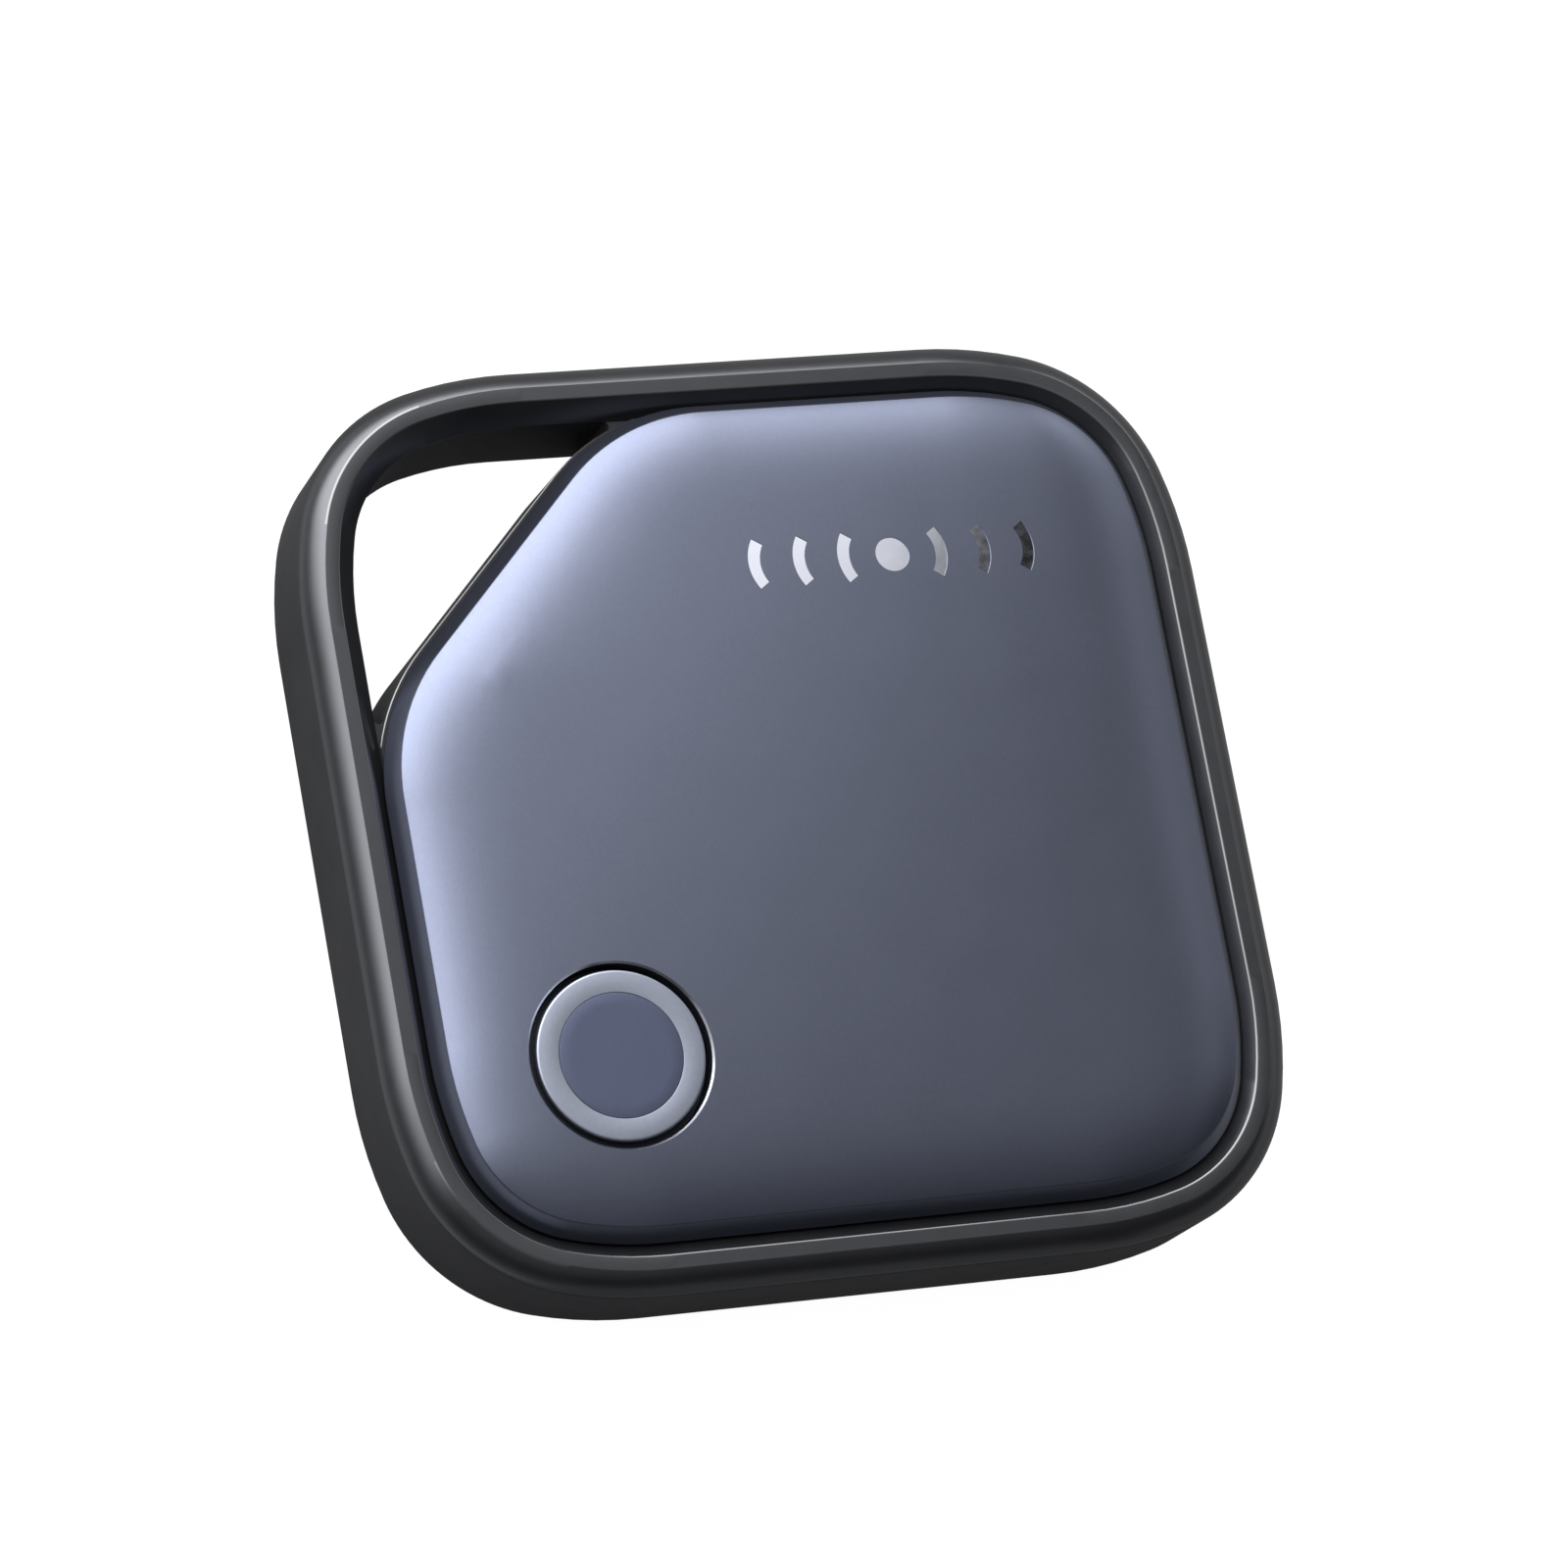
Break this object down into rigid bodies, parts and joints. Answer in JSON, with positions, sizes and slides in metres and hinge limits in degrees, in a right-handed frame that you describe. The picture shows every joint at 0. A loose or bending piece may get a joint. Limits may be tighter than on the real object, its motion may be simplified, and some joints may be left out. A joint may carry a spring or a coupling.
{
  "type": "bluetooth tracker tag",
  "caption": "Square tracker tag with a dark rounded frame, a corner loop for a key ring, a domed slate cover, a round press button, and a clip-on back over a coin cell.",
  "frame": {"origin": "centre of the tag's square outline, on the flat face of the back cover that it rests on", "axes": "+Z out of the front face, +Y towards the top edge of the tag, +X to the right seen from the front; the key-ring loop is at -X +Y and the button at -X -Y"},
  "size_m": [0.038, 0.038, 0.0076],
  "materials": {
    "bezel_black": "satin",
    "housing_black": "satin",
    "cover_slate": "satin, metallic paint",
    "adhesive": "matt",
    "mark_polished": "polished",
    "ring_silver": "satin",
    "disc_slate": "satin",
    "inner_black": "matt",
    "silicone_black": "matt",
    "switch_black": "matt",
    "switch_steel": "satin",
    "board_green": "satin",
    "chip_black": "matt",
    "crystal_steel": "satin",
    "antenna_white": "matt",
    "ferrite_grey": "matt",
    "passive_tan": "matt",
    "pad_gold": "bright",
    "screw_steel": "satin",
    "contact_plated": "bright",
    "cell_steel": "brushed",
    "cell_cap_steel": "satin",
    "cell_seal": "matt",
    "cell_inside": "matt",
    "piezo_brass": "satin",
    "piezo_white": "matt",
    "foam_black": "matt",
    "pin_gold": "bright",
    "back_black": "matt, fine texture",
    "seal_grey": "matt",
    "mesh_grey": "woven"
  },
  "bodies": {
    "back": {"rear_cover": "back_black", "rear_seal": "seal_grey", "sound_mesh": "mesh_grey"},
    "case": {"front_bezel": "bezel_black", "rear_housing": "housing_black", "inner_chassis": "housing_black", "front_cover": "cover_slate", "cover_adhesive": "adhesive", "signal_mark": "mark_polished", "button_seal": "silicone_black", "switch_base": "switch_black", "switch_plate": "switch_steel", "main_pcb": "board_green", "ble_chip": "chip_black", "crystal": "crystal_steel", "chip_antenna": "antenna_white", "inductor": "ferrite_grey", "buzzer_driver": "chip_black", "pcb_passives": "passive_tan", "pcb_test_pads": "pad_gold", "pcb_screws": "screw_steel", "positive_contact": "contact_plated", "negative_contact": "contact_plated", "piezo_plate": "piezo_brass", "piezo_ceramic": "piezo_white", "piezo_gasket": "foam_black", "piezo_pins": "pin_gold"},
    "button": {"button_ring": "ring_silver", "button_disc": "disc_slate", "button_plunger": "inner_black", "switch_actuator": "inner_black"},
    "cell": {"cell_can": "cell_steel", "cell_gasket": "cell_seal", "cell_cap": "cell_cap_steel", "cell_core": "cell_inside"}
  },
  "joints": [
    {"name": "case_lift", "type": "slide", "parent": "back", "child": "case", "axis": [0, 0, 1], "range_m": [0, 0.012]},
    {"name": "cell_lift", "type": "slide", "parent": "back", "child": "cell", "axis": [0, 0, 1], "range_m": [0, 0.006]},
    {"name": "button_press", "type": "slide", "parent": "case", "child": "button", "axis": [0, 0, -1], "range_m": [0, 0.00025], "stiffness_N_per_m": 800, "springref_m": -0.0003}
  ],
  "couplings": [
    {"joint": "cell_lift", "follows": "case_lift", "ratio": 0.5}
  ]
}
